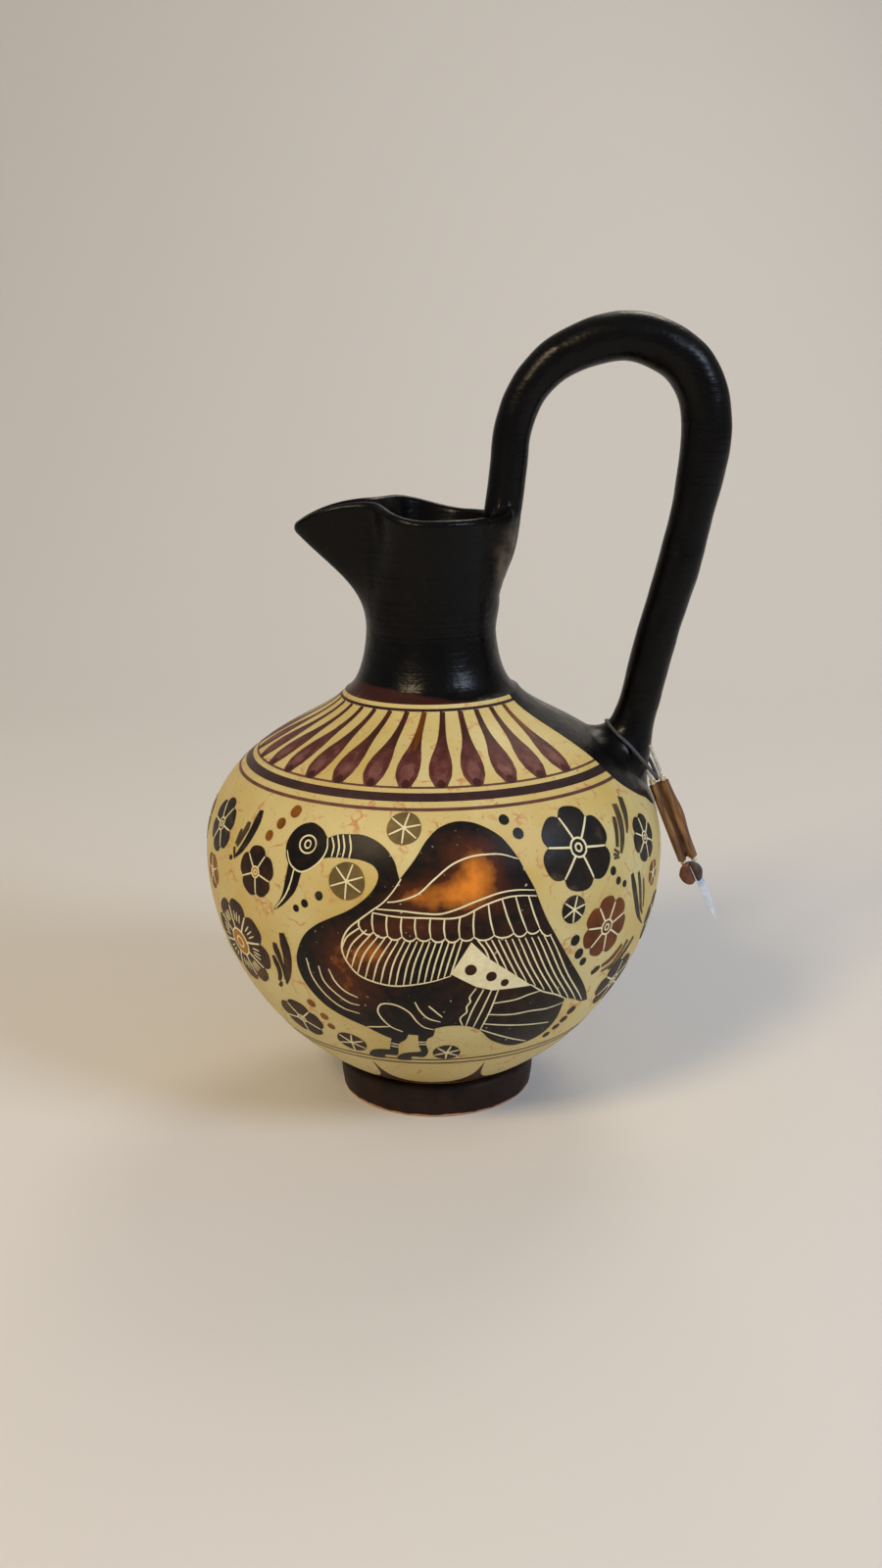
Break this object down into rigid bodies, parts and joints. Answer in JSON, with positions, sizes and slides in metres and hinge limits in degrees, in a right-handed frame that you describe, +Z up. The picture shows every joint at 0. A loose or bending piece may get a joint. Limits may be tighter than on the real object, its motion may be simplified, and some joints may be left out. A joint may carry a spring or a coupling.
{
  "type": "beaked jug",
  "caption": "Round-bellied clay pouring jug with a beaked spout and a high round handle, painted with a water bird and rosettes, with a rolled paper tag tied to the handle.",
  "frame": {"origin": "on the jug's own turning axis, in the middle of the flat underside of the foot", "axes": "+Z up along the turning axis, -X along the spout, +X along the handle, Y across the plane that spout and handle lie in"},
  "size_m": [0.1403, 0.124, 0.2099],
  "materials": {
    "black_slip": "satin black slip over fired clay",
    "cream_slip": "burnished cream slip with painted figures",
    "foot_slip": "matt brown-black slip",
    "cord": "covered elastic cord",
    "scroll_paper": "brown rolled paper",
    "rod_metal": "bright drawn wire",
    "seal_wax": "brown pressed wax",
    "ribbon_paper": "white paper"
  },
  "bodies": {
    "jug": {"foot": "foot_slip", "body": "cream_slip", "neck_and_mouth": "black_slip", "handle": "black_slip", "tag_cord": "cord"},
    "tag": {"tag_scroll": "scroll_paper", "tag_rod_inner": "rod_metal", "tag_rod_outer": "rod_metal", "tag_seal": "seal_wax", "tag_ribbon": "ribbon_paper"}
  },
  "joints": [
    {"name": "tag_swing", "type": "hinge", "parent": "jug", "child": "tag", "pos_m": [0.05993, -0.0086, 0.0893], "axis": [0, -1, 0], "range_deg": [0, 18]}
  ]
}
